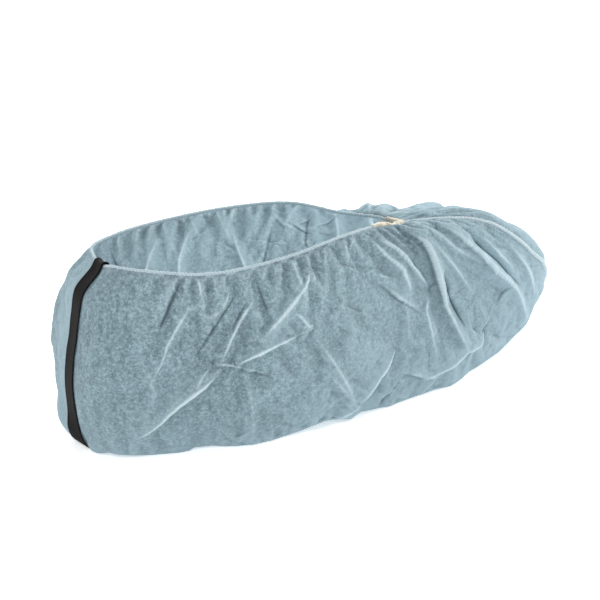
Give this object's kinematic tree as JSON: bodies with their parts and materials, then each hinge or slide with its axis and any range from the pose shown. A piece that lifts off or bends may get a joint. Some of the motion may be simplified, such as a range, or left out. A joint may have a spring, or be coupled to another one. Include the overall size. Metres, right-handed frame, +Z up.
{
  "type": "shoe cover",
  "caption": "Disposable nonwoven overshoe with a gathered elastic opening, a stitched front seam and a conductive ribbon over the heel.",
  "frame": {"origin": "centre of the bounding box at the underside of the tread, where the cover stands on the floor", "axes": "+X from heel to toe, +Y to the inner side of a right foot, +Z up"},
  "size_m": [0.304, 0.1076, 0.1099],
  "materials": {
    "nonwoven": "crumpled pale blue spunbond polypropylene, matt",
    "elastic": "cream covered elastic cord, matt",
    "thread": "off-white overlock stitching",
    "ribbon": "dark woven conductive ribbon, satin"
  },
  "bodies": {
    "root": {"fabric_bag": "nonwoven", "elastic_band": "elastic", "elastic_lap": "elastic", "front_seam": "thread", "conductive_strip": "ribbon"}
  },
  "joints": []
}
